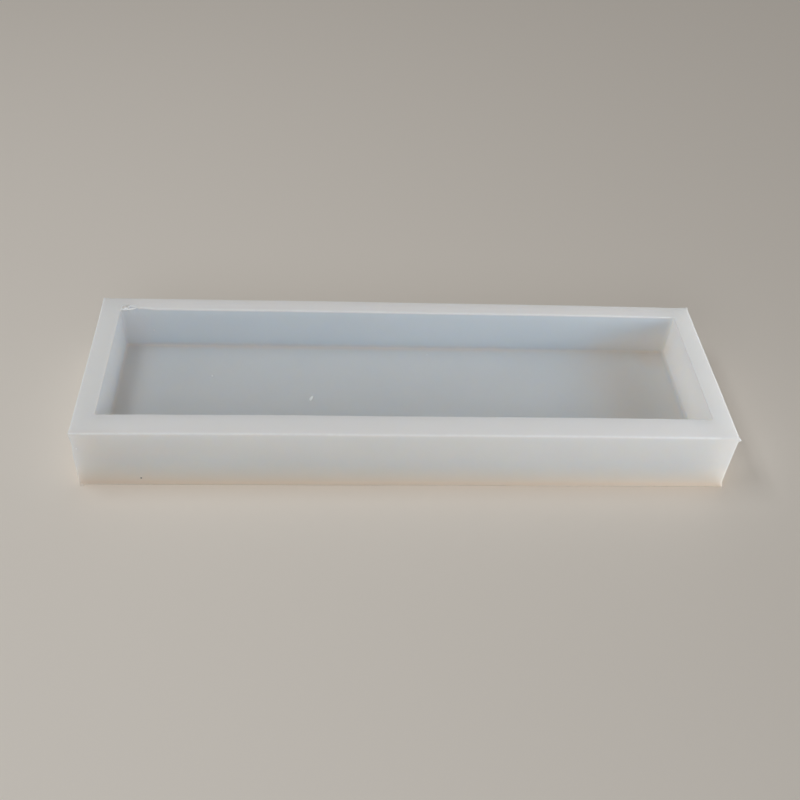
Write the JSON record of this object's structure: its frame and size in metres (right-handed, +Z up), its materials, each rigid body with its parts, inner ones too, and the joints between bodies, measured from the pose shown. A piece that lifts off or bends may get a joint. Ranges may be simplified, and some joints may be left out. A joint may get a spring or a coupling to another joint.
{
  "type": "silicone resin casting mould",
  "caption": "Open-topped rectangular block mould in translucent silicone, with a long shallow cavity for casting a slab of resin.",
  "frame": {"origin": "centre of the underside, on the surface that the mould stands on", "axes": "+X along the mould, +Z up out of the cavity's mouth, -Y towards the front, which is the side with the thicker wall"},
  "size_m": [0.32, 0.102, 0.035],
  "materials": {
    "translucent_silicone": "satin"
  },
  "bodies": {
    "root": {"mould_body": "translucent_silicone"}
  },
  "joints": []
}
